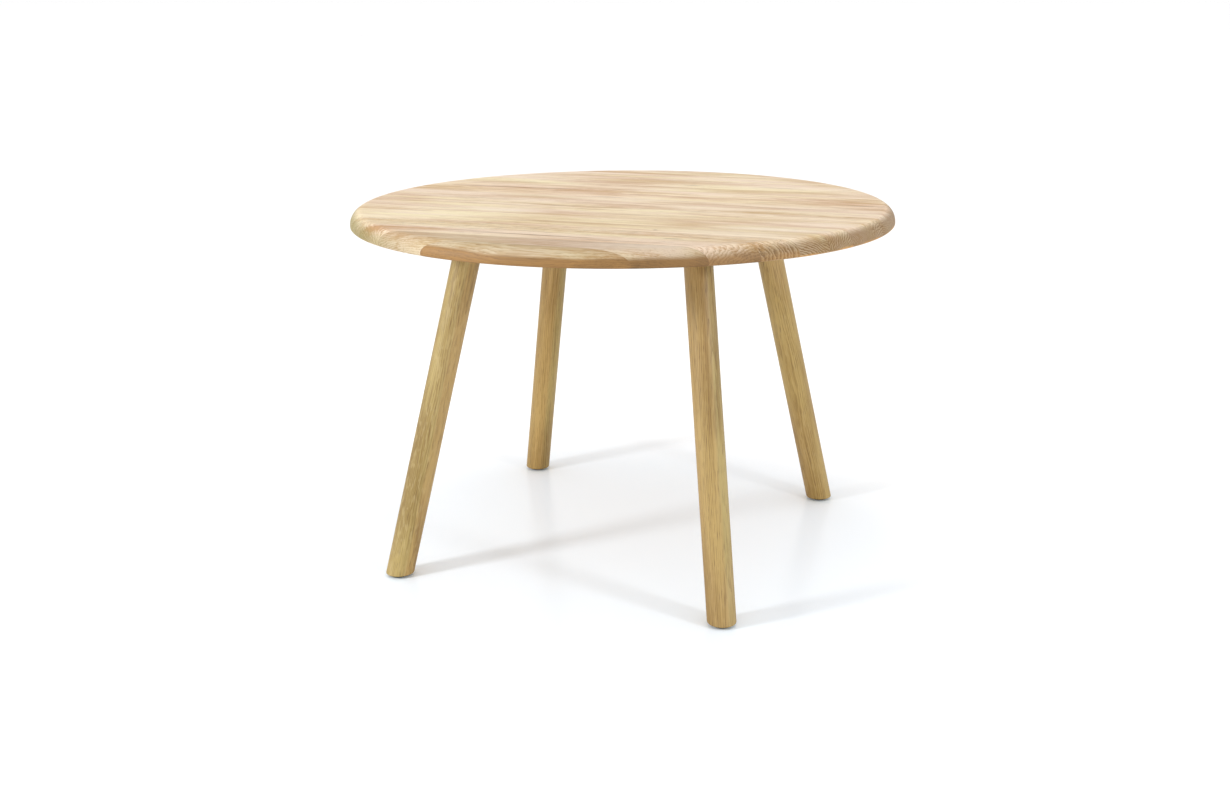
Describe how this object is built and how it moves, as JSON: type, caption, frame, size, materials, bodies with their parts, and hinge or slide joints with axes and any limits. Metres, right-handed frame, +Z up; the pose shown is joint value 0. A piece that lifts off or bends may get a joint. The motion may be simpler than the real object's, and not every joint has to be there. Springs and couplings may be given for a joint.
{
  "type": "round dining table",
  "caption": "Round solid oak dining table with a wide rounded edge, on plain round legs that splay outwards and meet the underside directly.",
  "frame": {"origin": "on the floor, under the centre of the round top", "axes": "+Z up, +X along the oak staves of the top, -Y the front"},
  "size_m": [1.15, 1.15, 0.756],
  "materials": {
    "oak_top": "white-oiled oak, satin",
    "oak_leg": "oiled oak, satin",
    "plate_steel": "black powder coat, fine texture",
    "zinc_screw": "bright zinc plate",
    "glide_nylon": "moulded nylon, matt",
    "felt": "pressed wool felt"
  },
  "bodies": {
    "root": {"top_stave_01": "oak_top", "top_stave_02": "oak_top", "top_stave_03": "oak_top", "top_stave_04": "oak_top", "top_stave_05": "oak_top", "top_stave_06": "oak_top", "top_stave_07": "oak_top", "top_stave_08": "oak_top", "top_stave_09": "oak_top", "top_stave_10": "oak_top", "top_stave_11": "oak_top", "top_stave_12": "oak_top", "top_stave_13": "oak_top", "top_stave_14": "oak_top", "top_stave_15": "oak_top", "top_stave_16": "oak_top", "top_stave_17": "oak_top", "top_stave_18": "oak_top", "leg_front_left": "oak_leg", "leg_front_right": "oak_leg", "leg_back_right": "oak_leg", "leg_back_left": "oak_leg", "leg_plate_front_left": "plate_steel", "leg_plate_front_right": "plate_steel", "leg_plate_back_right": "plate_steel", "leg_plate_back_left": "plate_steel", "leg_bolt_front_left": "zinc_screw", "leg_bolt_front_right": "zinc_screw", "leg_bolt_back_right": "zinc_screw", "leg_bolt_back_left": "zinc_screw", "stiffening_channel_centre": "plate_steel", "stiffening_channel_left": "plate_steel", "stiffening_channel_right": "plate_steel", "glide_front_left": "glide_nylon", "glide_front_right": "glide_nylon", "glide_back_right": "glide_nylon", "glide_back_left": "glide_nylon", "felt_pad_front_left": "felt", "felt_pad_front_right": "felt", "felt_pad_back_right": "felt", "felt_pad_back_left": "felt", "plate_screws": "zinc_screw", "channel_screws": "zinc_screw", "glide_screws": "zinc_screw"}
  },
  "joints": []
}
